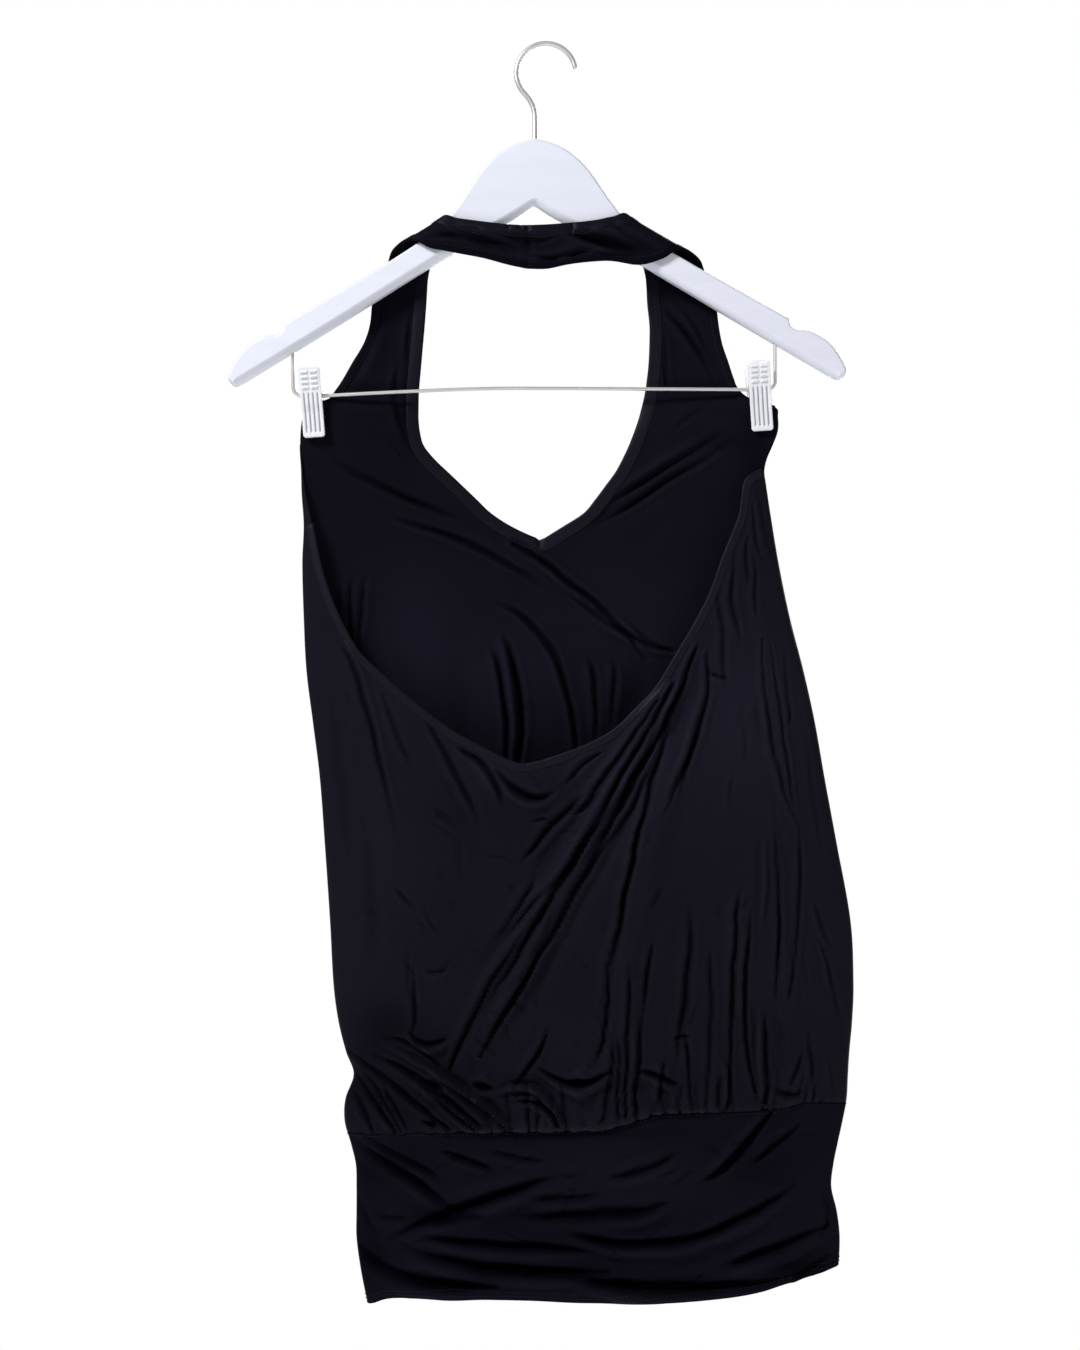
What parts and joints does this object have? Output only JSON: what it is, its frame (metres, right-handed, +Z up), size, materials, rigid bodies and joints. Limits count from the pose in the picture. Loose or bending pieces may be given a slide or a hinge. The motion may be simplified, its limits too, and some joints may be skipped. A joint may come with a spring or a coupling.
{
  "type": "halter neck top on a clip hanger",
  "caption": "Sleeveless black jersey halter top with a low scooped back and wide hip band, hung by its neckband on a white wooden hanger with a clip bar.",
  "frame": {"origin": "the inner crown of the hanger's hook, where a rail carries it", "axes": "+Z up, +X to the right seen from the side that the back of the top faces, -Y towards that side"},
  "size_m": [0.4495, 0.0388, 0.9074],
  "materials": {
    "jersey": "fine black viscose jersey with a soft sheen",
    "binding": "black rib binding, topstitched",
    "white_paint": "white satin paint on wood",
    "steel_wire": "polished nickel-plated wire",
    "clear_plastic": "clear moulded plastic with a cool tint"
  },
  "bodies": {
    "root": {"front_panel": "jersey", "back_panel": "jersey", "hip_band_front": "jersey", "hip_band_back": "jersey", "neck_binding_left": "binding", "neck_binding_right": "binding", "armhole_binding_left": "binding", "armhole_binding_right": "binding", "back_binding": "binding", "hanger_board": "white_paint", "hanger_hook": "steel_wire", "clip_bar": "steel_wire", "clip_left_front_jaw": "clear_plastic", "clip_left_back_jaw": "clear_plastic", "clip_left_spring": "steel_wire", "clip_right_front_jaw": "clear_plastic", "clip_right_back_jaw": "clear_plastic", "clip_right_spring": "steel_wire"}
  },
  "joints": []
}
